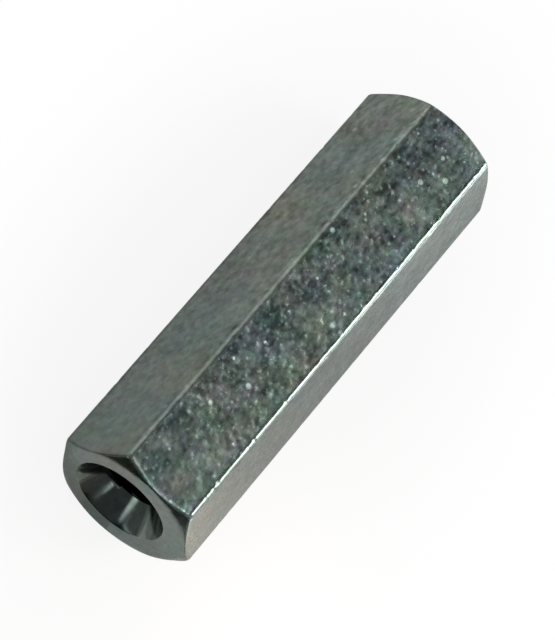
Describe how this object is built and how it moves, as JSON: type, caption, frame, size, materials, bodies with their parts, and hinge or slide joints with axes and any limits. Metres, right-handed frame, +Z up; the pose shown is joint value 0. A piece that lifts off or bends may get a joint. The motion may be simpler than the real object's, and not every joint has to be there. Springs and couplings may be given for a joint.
{
  "type": "hex standoff",
  "caption": "Hexagon steel standoff with a tapped blind hole and a countersunk mouth in each chamfered end, for spacing boards and panels apart.",
  "frame": {"origin": "on the flat that the bar lies on, below the middle of its length", "axes": "+X along the bar, from one open end to the other; +Z up, square to the upper flat; the tapped holes' axis is 0.25 mm off the bar's middle, toward +Y"},
  "size_m": [0.025, 0.008, 0.007],
  "materials": {
    "zinc_plated_steel": "bright zinc plate on drawn hexagon bar, satin and lightly dinged"
  },
  "bodies": {
    "root": {"standoff": "zinc_plated_steel"}
  },
  "joints": []
}
